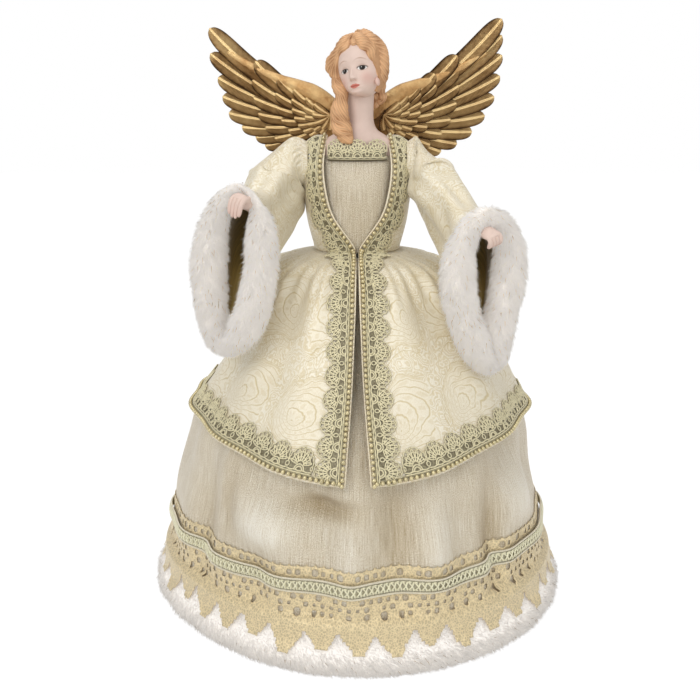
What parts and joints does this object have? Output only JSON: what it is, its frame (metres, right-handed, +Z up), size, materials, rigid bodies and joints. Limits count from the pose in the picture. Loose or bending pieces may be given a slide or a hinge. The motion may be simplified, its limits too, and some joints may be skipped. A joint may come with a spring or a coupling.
{
  "type": "angel tree topper",
  "caption": "Doll angel tree topper: bell gown, brocade coat with lace and fur trim, gilt feathered wings, bendable wire arms, and a stiff cone socket for the tree tip.",
  "frame": {"origin": "centre of the hem circle on the floor", "axes": "+Z up, the doll faces -Y, +X to the right of someone looking at its face"},
  "size_m": [0.3074, 0.3074, 0.4085],
  "materials": {
    "card_board": "plain card",
    "core_plastic": "moulded, matt",
    "bisque": "painted bisque, satin",
    "gilt_casting": "resin casting, antique gold paint",
    "steel": "drawn wire and screws",
    "lame": "slubbed metallic cloth, soft sheen",
    "brocade": "woven paisley, tone on tone",
    "gold_lace": "corded lace, metallic",
    "skirt_lace": "net lace, metallic",
    "pearl": "pearl lustre",
    "braid": "woven braid with white rope edges",
    "fur": "short white pile with sparse gold hairs",
    "satin": "satin lining",
    "stiff_net": "stiffened net"
  },
  "bodies": {
    "figure": {"cone_former": "card_board", "torso_core": "core_plastic", "shoulder_wire": "steel", "head_and_shoulders": "bisque", "stiff_underskirt": "stiff_net", "gown_skirt": "lame", "gown_bodice": "lame", "neckline_lace": "gold_lace", "neckline_cord": "pearl", "fur_hem": "fur", "skirt_lace": "skirt_lace", "skirt_braid": "braid", "coat_bodice": "brocade", "coat_skirt": "brocade", "wing_left": "gilt_casting", "wing_screw_left_lower": "steel", "wing_screw_left_upper": "steel", "front_lace_left": "gold_lace", "front_pearls_left": "pearl", "hem_lace_left": "gold_lace", "hem_pearls_left": "pearl", "wing_right": "gilt_casting", "wing_screw_right_lower": "steel", "wing_screw_right_upper": "steel", "front_lace_right": "gold_lace", "front_pearls_right": "pearl", "hem_lace_right": "gold_lace", "hem_pearls_right": "pearl"},
    "left_arm": {"sleeve_left": "brocade", "sleeve_lining_left": "satin", "fur_cuff_left": "fur", "arm_wire_left": "steel", "hand_left": "bisque"},
    "right_arm": {"sleeve_right": "brocade", "sleeve_lining_right": "satin", "fur_cuff_right": "fur", "arm_wire_right": "steel", "hand_right": "bisque"}
  },
  "joints": [
    {"name": "left_shoulder", "type": "hinge", "parent": "figure", "child": "left_arm", "pos_m": [-0.046, 0, 0.311], "axis": [0, 1, 0], "range_deg": [0, 28]},
    {"name": "right_shoulder", "type": "hinge", "parent": "figure", "child": "right_arm", "pos_m": [0.046, 0, 0.311], "axis": [0, -1, 0], "range_deg": [0, 28]}
  ]
}
